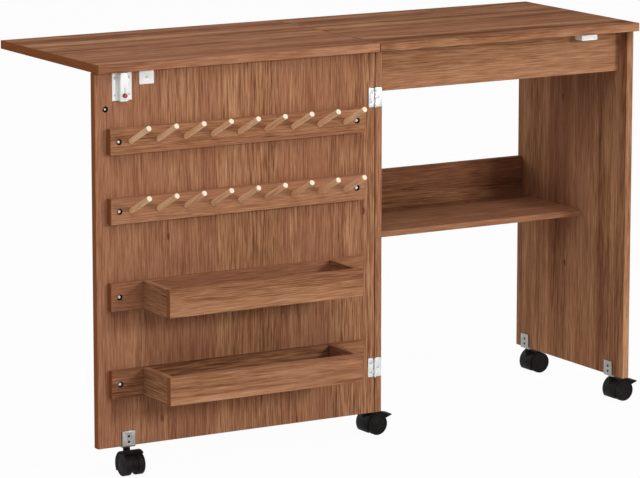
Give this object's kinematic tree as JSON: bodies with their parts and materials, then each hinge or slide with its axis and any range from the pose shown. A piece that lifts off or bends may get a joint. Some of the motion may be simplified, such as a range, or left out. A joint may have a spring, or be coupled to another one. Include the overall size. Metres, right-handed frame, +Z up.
{
  "type": "sewing table",
  "caption": "Folding sewing table on casters: a cabinet with a shelf, a fold-over top leaf, and a swinging door with spool pegs and bins that carries the leaf.",
  "frame": {"origin": "on the floor, under the middle of the outline with the door open and the leaf laid out", "axes": "+X to the right along the table, +Y from the open front to the rear, +Z up"},
  "size_m": [1.2236, 0.496, 0.7639],
  "materials": {
    "walnut_board": "brown wood-grain melamine, satin",
    "peg_wood": "brown stained wood, satin",
    "bronze_hinge": "dark bronze plating, satin",
    "zinc_steel": "bright zinc plating",
    "screw_steel": "zinc plated screws",
    "white_enamel": "white enamel, gloss",
    "white_plastic": "white moulded plastic",
    "ferrite": "dark grey ferrite",
    "red_plastic": "red moulded plastic",
    "black_plastic": "black moulded nylon",
    "black_wheel": "black moulded nylon, worn treads"
  },
  "bodies": {
    "cabinet": {"fixed_top": "walnut_board", "left_side_panel": "walnut_board", "right_side_panel": "walnut_board", "front_apron": "walnut_board", "rear_apron": "walnut_board", "shelf": "walnut_board", "shelf_back_rail": "walnut_board", "panel_screws": "screw_steel", "leaf_hinge_fixed_plates": "bronze_hinge", "leaf_hinge_pins": "bronze_hinge", "door_hinge_cabinet_plates": "zinc_steel", "door_hinge_pins": "zinc_steel", "catch_housing": "white_plastic", "catch_magnet": "ferrite", "catch_pole_plates": "zinc_steel", "cabinet_caster_brackets": "zinc_steel", "cabinet_hardware_screws": "screw_steel"},
    "leaf": {"leaf_top": "walnut_board", "leaf_bolt_cup": "bronze_hinge", "leaf_hinge_leaf_plates": "bronze_hinge", "leaf_hinge_screws": "bronze_hinge"},
    "door": {"door_panel": "walnut_board", "door_knob": "peg_wood", "upper_spool_rail": "walnut_board", "upper_spool_pegs": "peg_wood", "lower_spool_rail": "walnut_board", "lower_spool_pegs": "peg_wood", "upper_bin_back_board": "walnut_board", "upper_bin_front": "walnut_board", "upper_bin_sides": "walnut_board", "upper_bin_bottom": "walnut_board", "lower_bin_back_board": "walnut_board", "lower_bin_front": "walnut_board", "lower_bin_sides": "walnut_board", "lower_bin_bottom": "walnut_board", "storage_screws": "screw_steel", "door_hinge_door_plates": "zinc_steel", "latch_cover": "white_enamel", "strike_plate": "white_enamel", "door_caster_bracket": "zinc_steel", "door_hardware_screws": "screw_steel"},
    "thumb_bolt": {"latch_bolt": "zinc_steel", "latch_bolt_knob": "red_plastic"},
    "left_front_caster_swivel": {"left_front_caster_hood": "black_plastic"},
    "left_front_caster_wheelset": {"left_front_caster_wheels": "black_wheel", "left_front_caster_axle": "zinc_steel"},
    "left_front_brake": {"left_front_brake_lever": "black_plastic"},
    "left_rear_caster_swivel": {"left_rear_caster_hood": "black_plastic"},
    "left_rear_caster_wheelset": {"left_rear_caster_wheels": "black_wheel", "left_rear_caster_axle": "zinc_steel"},
    "right_front_caster_swivel": {"right_front_caster_hood": "black_plastic"},
    "right_front_caster_wheelset": {"right_front_caster_wheels": "black_wheel", "right_front_caster_axle": "zinc_steel"},
    "right_front_brake": {"right_front_brake_lever": "black_plastic"},
    "right_rear_caster_swivel": {"right_rear_caster_hood": "black_plastic"},
    "right_rear_caster_wheelset": {"right_rear_caster_wheels": "black_wheel", "right_rear_caster_axle": "zinc_steel"},
    "door_caster_swivel": {"door_caster_hood": "black_plastic"},
    "door_caster_wheelset": {"door_caster_wheels": "black_wheel", "door_caster_axle": "zinc_steel"}
  },
  "joints": [
    {"name": "door_swing", "type": "hinge", "parent": "cabinet", "child": "door", "pos_m": [-0.02125, -0.13425, 0.053], "axis": [0, 0, 1], "range_deg": [0, 180]},
    {"name": "leaf_fold", "type": "hinge", "parent": "cabinet", "child": "leaf", "pos_m": [-0.02125, -0.132, 0.7623], "axis": [0, 1, 0], "range_deg": [0, 180]},
    {"name": "bolt_slide", "type": "slide", "parent": "door", "child": "thumb_bolt", "axis": [0, 0, -1], "range_m": [-0.012, 0]},
    {"name": "left_front_swivel", "type": "hinge", "parent": "cabinet", "child": "left_front_caster_swivel", "pos_m": [-0.01325, -0.085, 0.0505], "axis": [0, 0, 1], "continuous": true},
    {"name": "left_front_roll", "type": "hinge", "parent": "left_front_caster_swivel", "child": "left_front_caster_wheelset", "pos_m": [0.00375, -0.085, 0.021], "axis": [0, 1, 0], "continuous": true},
    {"name": "left_front_brake_tip", "type": "hinge", "parent": "left_front_caster_swivel", "child": "left_front_brake", "pos_m": [0.01351, -0.085, 0.04292], "axis": [0, 1, 0], "range_deg": [0, 7]},
    {"name": "left_rear_swivel", "type": "hinge", "parent": "cabinet", "child": "left_rear_caster_swivel", "pos_m": [-0.01325, 0.214, 0.0505], "axis": [0, 0, 1], "continuous": true},
    {"name": "left_rear_roll", "type": "hinge", "parent": "left_rear_caster_swivel", "child": "left_rear_caster_wheelset", "pos_m": [0.00375, 0.214, 0.021], "axis": [0, 1, 0], "continuous": true},
    {"name": "right_front_swivel", "type": "hinge", "parent": "cabinet", "child": "right_front_caster_swivel", "pos_m": [0.55975, -0.085, 0.0505], "axis": [0, 0, 1], "continuous": true},
    {"name": "right_front_roll", "type": "hinge", "parent": "right_front_caster_swivel", "child": "right_front_caster_wheelset", "pos_m": [0.57675, -0.085, 0.021], "axis": [0, 1, 0], "continuous": true},
    {"name": "right_front_brake_tip", "type": "hinge", "parent": "right_front_caster_swivel", "child": "right_front_brake", "pos_m": [0.58651, -0.085, 0.04292], "axis": [0, 1, 0], "range_deg": [0, 7]},
    {"name": "right_rear_swivel", "type": "hinge", "parent": "cabinet", "child": "right_rear_caster_swivel", "pos_m": [0.55975, 0.214, 0.0505], "axis": [0, 0, 1], "continuous": true},
    {"name": "right_rear_roll", "type": "hinge", "parent": "right_rear_caster_swivel", "child": "right_rear_caster_wheelset", "pos_m": [0.57675, 0.214, 0.021], "axis": [0, 1, 0], "continuous": true},
    {"name": "door_swivel", "type": "hinge", "parent": "door", "child": "door_caster_swivel", "pos_m": [-0.54825, -0.1245, 0.0505], "axis": [0, 0, 1], "continuous": true},
    {"name": "door_roll", "type": "hinge", "parent": "door_caster_swivel", "child": "door_caster_wheelset", "pos_m": [-0.54825, -0.1415, 0.021], "axis": [1, 0, 0], "continuous": true}
  ]
}
